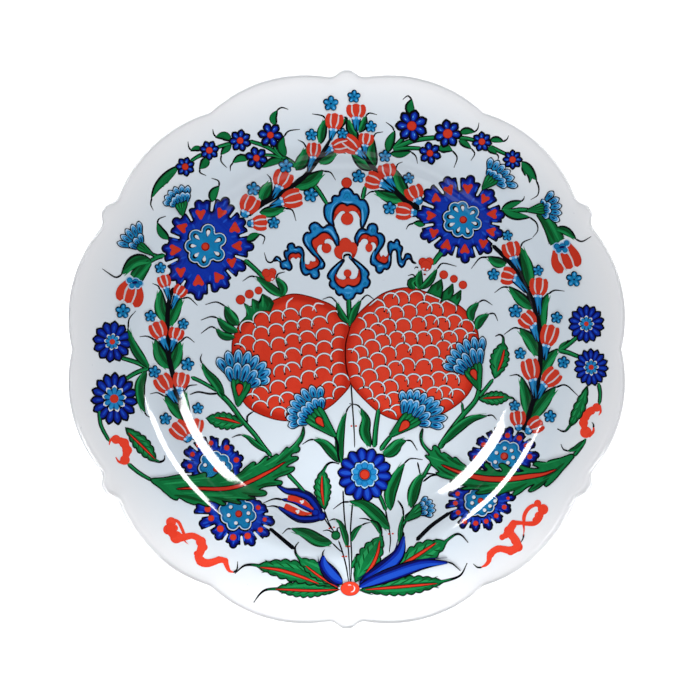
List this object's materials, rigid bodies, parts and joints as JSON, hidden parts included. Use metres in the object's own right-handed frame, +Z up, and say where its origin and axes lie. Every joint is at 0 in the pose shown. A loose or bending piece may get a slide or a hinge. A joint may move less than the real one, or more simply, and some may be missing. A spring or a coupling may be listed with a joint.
{
  "type": "decorative plate",
  "caption": "Shallow hand painted ceramic wall and table plate with a scalloped rim, a deep cavetto and a foot ring.",
  "frame": {"origin": "centre of the foot ring, on the surface that the plate stands on", "axes": "+Z up out of the painted face, +Y to the top of the painting, +X to its right"},
  "size_m": [0.296, 0.2986, 0.033],
  "materials": {
    "clay": "matte, unglazed on the foot",
    "white_glaze": "gloss",
    "cobalt_paint": "gloss",
    "turquoise_paint": "gloss",
    "green_paint": "gloss",
    "red_paint": "gloss",
    "black_paint": "gloss"
  },
  "bodies": {
    "root": {"biscuit_body": "clay", "front_glaze": "white_glaze", "back_glaze": "white_glaze", "pomegranate_left": "red_paint", "pomegranate_right": "red_paint", "pomegranate_crowns": "green_paint", "pomegranate_buds": "red_paint", "cloud_collar": "turquoise_paint", "collar_drops": "red_paint", "rosette_upper_left": "cobalt_paint", "rosette_upper_right": "cobalt_paint", "rosette_left_inner": "cobalt_paint", "rosette_left_outer": "cobalt_paint", "rosette_right_inner": "cobalt_paint", "rosette_right_outer": "cobalt_paint", "saz_leaf_left": "green_paint", "saz_leaf_right": "green_paint", "garland_branch_left": "black_paint", "garland_branch_right": "black_paint", "garland_tulips_left": "red_paint", "garland_tulips_right": "red_paint", "garland_leaves_left": "green_paint", "garland_leaves_right": "green_paint", "garland_star_flowers": "turquoise_paint", "flower_spray_left": "cobalt_paint", "flower_spray_right": "cobalt_paint", "carnations_field": "turquoise_paint", "carnations_rim": "turquoise_paint", "hanging_tulips": "red_paint", "rim_flowers": "cobalt_paint", "red_ribbons": "red_paint", "field_stems": "green_paint", "field_leaves": "green_paint", "centre_flower": "cobalt_paint", "blue_tulip": "cobalt_paint", "bouquet_leaves_left": "green_paint", "bouquet_leaves_right": "green_paint", "bouquet_knot": "red_paint"}
  },
  "joints": []
}
